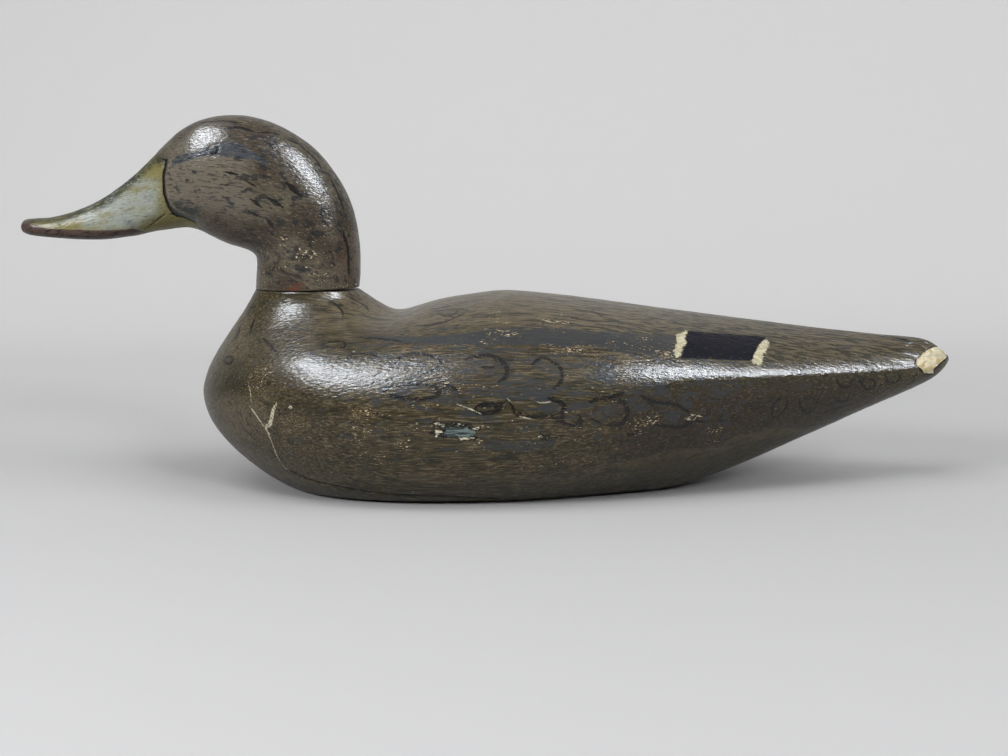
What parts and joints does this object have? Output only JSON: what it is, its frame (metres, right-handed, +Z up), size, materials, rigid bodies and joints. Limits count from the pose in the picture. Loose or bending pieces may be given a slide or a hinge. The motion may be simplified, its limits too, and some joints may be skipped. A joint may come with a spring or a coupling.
{
  "type": "mallard decoy",
  "caption": "Carved wooden hen mallard decoy with a flat bottom, a head fixed on a raised neck seat, and worn painted plumage.",
  "frame": {"origin": "centre of the bounding box, on the plane of the flat bottom", "axes": "+X towards the tail (the bill points to -X), +Z up, mirrored across Y = 0"},
  "size_m": [0.425, 0.1522, 0.1691],
  "materials": {
    "body_paint": "aged oil paint in umber brown with dark feather strokes, semi-gloss, crackled, over wood with long grain",
    "head_paint": "aged oil paint in brown with short dark dashes, an olive bill, semi-gloss, worn at the edges"
  },
  "bodies": {
    "root": {"body": "body_paint", "head": "head_paint"}
  },
  "joints": []
}
